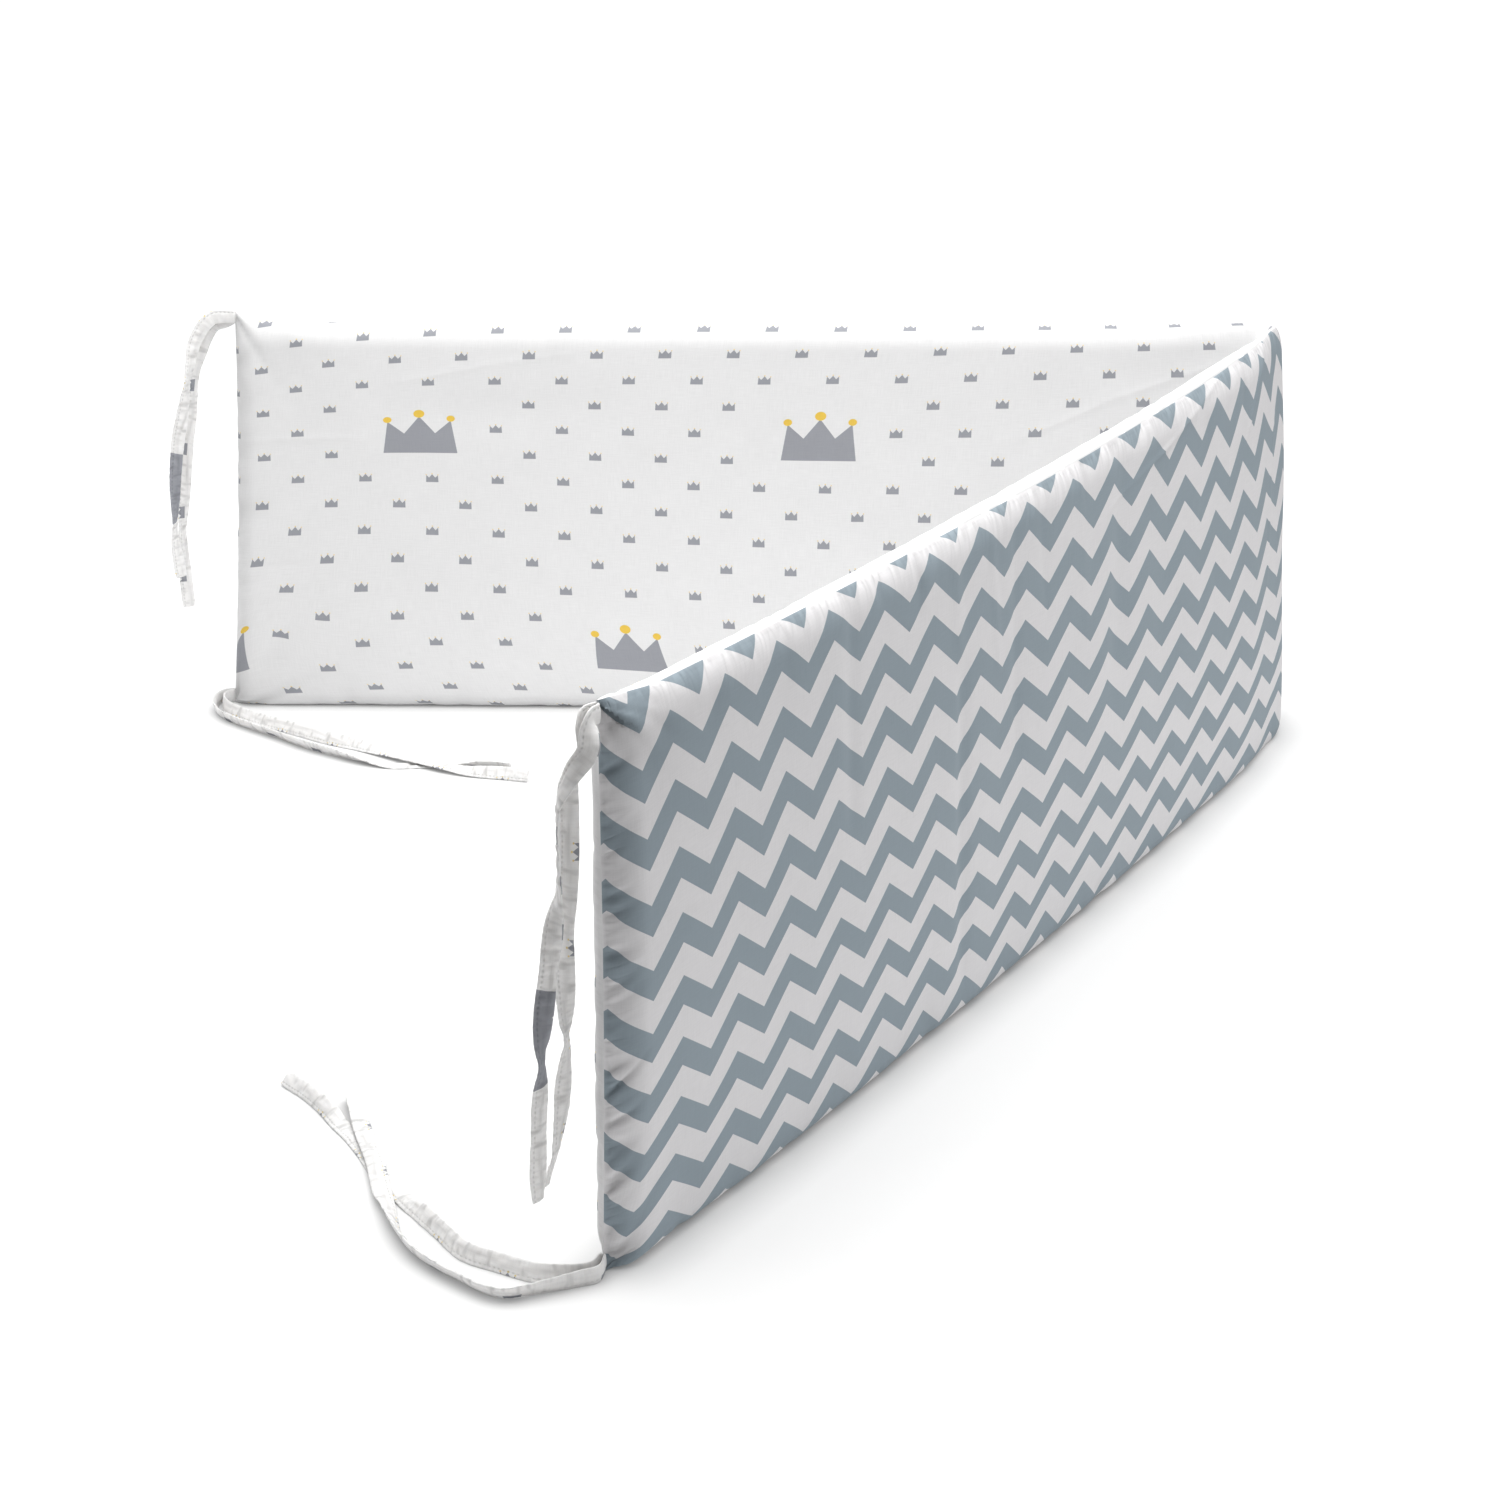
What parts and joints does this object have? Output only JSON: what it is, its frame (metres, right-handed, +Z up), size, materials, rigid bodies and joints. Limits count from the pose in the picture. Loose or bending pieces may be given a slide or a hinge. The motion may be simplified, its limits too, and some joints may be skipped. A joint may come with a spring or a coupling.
{
  "type": "crib bumper",
  "caption": "Long padded crib bumper standing on its long edge in a V fold, crown print on the inside, zigzag print on the outside, with a pair of cloth tie tails at each corner.",
  "frame": {"origin": "on the floor, in the middle of the footprint's bounding box", "axes": "+X right along the far limb towards the fold, +Y back from the near end to the far limb, +Z up"},
  "size_m": [0.84, 0.8541, 0.309],
  "materials": {
    "crown_cotton": "matt printed cotton, small grey crowns on white",
    "zigzag_cotton": "matt printed cotton, grey-blue and white zigzags",
    "tie_cotton": "matt printed cotton, folded and stitched"
  },
  "bodies": {
    "root": {"pad": "crown_cotton", "tie_far_top": "tie_cotton", "tie_far_bottom": "tie_cotton", "tie_near_top": "tie_cotton", "tie_near_bottom": "tie_cotton"}
  },
  "joints": []
}
